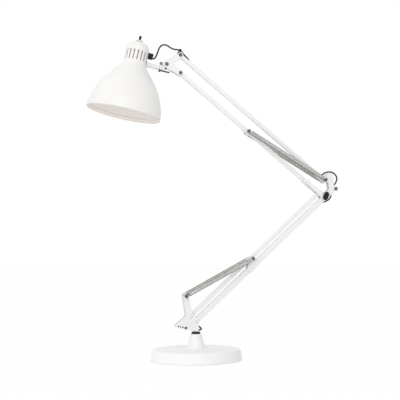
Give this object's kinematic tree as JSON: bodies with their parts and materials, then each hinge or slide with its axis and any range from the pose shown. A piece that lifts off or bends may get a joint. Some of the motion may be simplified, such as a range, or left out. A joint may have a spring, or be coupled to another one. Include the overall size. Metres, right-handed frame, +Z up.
{
  "type": "swing arm desk lamp",
  "caption": "White swing arm desk lamp: weighted round base, two parallelogram arms with paired tension springs, tilting bell shade with vent slots, top toggle switch.",
  "frame": {"origin": "middle of the base's underside, on the table", "axes": "+Z up; the arms lie in the XZ plane, leaning towards +X and coming back so that the shade is on the -X side; the lead leaves towards +Y"},
  "size_m": [0.619, 0.3105, 0.7771],
  "materials": {
    "base_casting": "satin white paint",
    "base_weight": "raw",
    "base_pad": "matte",
    "hub_bush": "satin",
    "base_lead": "matte",
    "strain_relief": "matte",
    "mains_lead": "matte",
    "lead_coil": "matte",
    "coil_tie": "matte",
    "plug": "matte",
    "bracket": "satin white",
    "spindle": "blackened",
    "spindle_nut": "blackened",
    "lever_pin": "blackened",
    "bracket_bolts": "blackened",
    "spindle_lead": "matte",
    "foot_lead": "matte",
    "lower_tube": "satin white",
    "lower_tube_cap": "matte",
    "lower_saddle": "satin white",
    "lower_saddle_pins": "blackened",
    "lower_arm_lead": "matte",
    "lower_link": "satin white",
    "elbow_plate_front": "satin white",
    "elbow_plate_rear": "satin white",
    "elbow_bolts": "blackened",
    "elbow_caps": "matte",
    "elbow_spring_pin": "blackened",
    "elbow_lead_low": "matte",
    "elbow_lead_high": "matte",
    "upper_tube": "satin white",
    "upper_arm_lead": "matte",
    "upper_link": "satin white",
    "upper_link_fork": "satin white",
    "upper_saddle": "satin white",
    "upper_saddle_pins": "blackened",
    "head_plate_front": "satin white",
    "head_plate_rear": "satin white",
    "head_bolts": "blackened",
    "cord_clip": "matte",
    "tilt_bolt": "blackened",
    "head_lead_arm": "matte",
    "knuckle": "satin white",
    "knuckle_base": "satin",
    "clamp_screws": "blackened",
    "head_lead_mid": "matte",
    "head_lead_shade": "matte",
    "shade_neck": "satin",
    "shade_shoulder": "satin",
    "shade_bell": "satin",
    "stem": "satin white",
    "stem_nut": "blackened",
    "lampholder": "matte",
    "bulb": "frosted",
    "switch_body": "satin",
    "switch_nut": "satin",
    "cord_grip": "matte",
    "switch_lever": "satin",
    "lower_springs": "spring steel",
    "lower_spring_eyes": "spring steel",
    "upper_springs": "spring steel",
    "upper_spring_eyes": "spring steel"
  },
  "bodies": {
    "base": {"base_casting": "base_casting", "base_weight": "base_weight", "base_pad": "base_pad", "hub_bush": "hub_bush", "base_lead": "base_lead", "strain_relief": "strain_relief", "mains_lead": "mains_lead", "lead_coil": "lead_coil", "coil_tie": "coil_tie", "plug": "plug"},
    "bracket": {"bracket": "bracket", "spindle": "spindle", "spindle_nut": "spindle_nut", "lever_pin": "lever_pin", "bracket_bolts": "bracket_bolts", "spindle_lead": "spindle_lead", "foot_lead": "foot_lead"},
    "lower_arm": {"lower_tube": "lower_tube", "lower_tube_cap": "lower_tube_cap", "lower_saddle": "lower_saddle", "lower_saddle_pins": "lower_saddle_pins", "lower_arm_lead": "lower_arm_lead"},
    "lower_link": {"lower_link": "lower_link"},
    "elbow": {"elbow_plate_front": "elbow_plate_front", "elbow_plate_rear": "elbow_plate_rear", "elbow_bolts": "elbow_bolts", "elbow_caps": "elbow_caps", "elbow_spring_pin": "elbow_spring_pin", "elbow_lead_low": "elbow_lead_low", "elbow_lead_high": "elbow_lead_high"},
    "upper_arm": {"upper_tube": "upper_tube", "upper_arm_lead": "upper_arm_lead"},
    "upper_link": {"upper_link": "upper_link", "upper_link_fork": "upper_link_fork", "upper_saddle": "upper_saddle", "upper_saddle_pins": "upper_saddle_pins"},
    "head_bracket": {"head_plate_front": "head_plate_front", "head_plate_rear": "head_plate_rear", "head_bolts": "head_bolts", "cord_clip": "cord_clip", "tilt_bolt": "tilt_bolt", "head_lead_arm": "head_lead_arm"},
    "knuckle": {"knuckle": "knuckle", "knuckle_base": "knuckle_base", "clamp_screws": "clamp_screws", "head_lead_mid": "head_lead_mid", "head_lead_shade": "head_lead_shade"},
    "shade": {"shade_neck": "shade_neck", "shade_shoulder": "shade_shoulder", "shade_bell": "shade_bell", "stem": "stem", "stem_nut": "stem_nut", "lampholder": "lampholder", "bulb": "bulb", "switch_body": "switch_body", "switch_nut": "switch_nut", "cord_grip": "cord_grip"},
    "switch_lever": {"switch_lever": "switch_lever"},
    "lower_spring": {"lower_springs": "lower_springs"},
    "lower_spring_end": {"lower_spring_eyes": "lower_spring_eyes"},
    "upper_spring": {"upper_springs": "upper_springs"},
    "upper_spring_end": {"upper_spring_eyes": "upper_spring_eyes"}
  },
  "joints": [
    {"name": "base_swivel", "type": "hinge", "parent": "base", "child": "bracket", "pos_m": [0, 0, 0.05], "axis": [0, 0, 1], "range_deg": [-90, 90]},
    {"name": "lower_arm", "type": "hinge", "parent": "bracket", "child": "lower_arm", "pos_m": [-0.001, 0, 0.093], "axis": [0, -1, 0], "range_deg": [-22, 33], "deforming": ["foot_lead"]},
    {"name": "lower_link", "type": "hinge", "parent": "bracket", "child": "lower_link", "pos_m": [-0.014, 0, 0.1045], "axis": [0, -1, 0], "range_deg": [-22, 33]},
    {"name": "elbow_level", "type": "hinge", "parent": "lower_arm", "child": "elbow", "pos_m": [0.32598, 0, 0.38742], "axis": [0, -1, 0], "range_deg": [-33, 22], "deforming": ["elbow_lead_low"]},
    {"name": "upper_arm", "type": "hinge", "parent": "elbow", "child": "upper_arm", "pos_m": [0.32598, 0, 0.43042], "axis": [0, 1, 0], "range_deg": [-30, 25], "deforming": ["elbow_lead_high"]},
    {"name": "upper_link", "type": "hinge", "parent": "elbow", "child": "upper_link", "pos_m": [0.32598, 0, 0.38742], "axis": [0, 1, 0], "range_deg": [-30, 25]},
    {"name": "head_level", "type": "hinge", "parent": "upper_arm", "child": "head_bracket", "pos_m": [-0.03176, 0, 0.7306], "axis": [0, 1, 0], "range_deg": [-25, 30], "deforming": ["head_lead_arm"]},
    {"name": "head_tilt", "type": "hinge", "parent": "head_bracket", "child": "knuckle", "pos_m": [-0.06526, 0, 0.7079], "axis": [0, 1, 0], "range_deg": [-35, 45], "deforming": ["head_lead_mid"]},
    {"name": "shade_swivel", "type": "hinge", "parent": "knuckle", "child": "shade", "pos_m": [-0.14113, 0, 0.71269], "axis": [0.9744, 0, -0.225], "range_deg": [-45, 45], "deforming": ["head_lead_shade"]},
    {"name": "switch_lever", "type": "hinge", "parent": "shade", "child": "switch_lever", "pos_m": [-0.12959, 0, 0.76267], "axis": [0.9744, 0, -0.225], "range_deg": [-24, 0]},
    {"name": "lower_spring_turn", "type": "hinge", "parent": "bracket", "child": "lower_spring", "pos_m": [-0.025, 0, 0.154], "axis": [0, -1, 0], "range_deg": [-18.7, 28.05]},
    {"name": "lower_spring_stretch", "type": "slide", "parent": "lower_spring", "child": "lower_spring_end", "axis": [-0.9963, 0, 0.0855], "range_m": [-0.02911, 0.04366], "deforming": ["lower_springs", "lower_spring_eyes"]},
    {"name": "upper_spring_turn", "type": "hinge", "parent": "elbow", "child": "upper_spring", "pos_m": [0.32598, 0, 0.43042], "axis": [0, 1, 0], "range_deg": [-25.5, 21.25]},
    {"name": "upper_spring_stretch", "type": "slide", "parent": "upper_spring", "child": "upper_spring_end", "axis": [0.9102, 0, 0.4141], "range_m": [-0.03434, 0.02862], "deforming": ["upper_springs", "upper_spring_eyes"]}
  ],
  "couplings": [
    {"joint": "lower_link", "follows": "lower_arm", "ratio": 1},
    {"joint": "elbow_level", "follows": "lower_arm", "ratio": -1},
    {"joint": "upper_link", "follows": "upper_arm", "ratio": 1},
    {"joint": "head_level", "follows": "upper_arm", "ratio": -1},
    {"joint": "lower_spring_turn", "follows": "lower_arm", "ratio": 0.85},
    {"joint": "lower_spring_stretch", "follows": "lower_arm", "m_per_rad": 0.075799},
    {"joint": "upper_spring_turn", "follows": "upper_arm", "ratio": 0.85},
    {"joint": "upper_spring_stretch", "follows": "upper_arm", "m_per_rad": 0.065587}
  ]
}
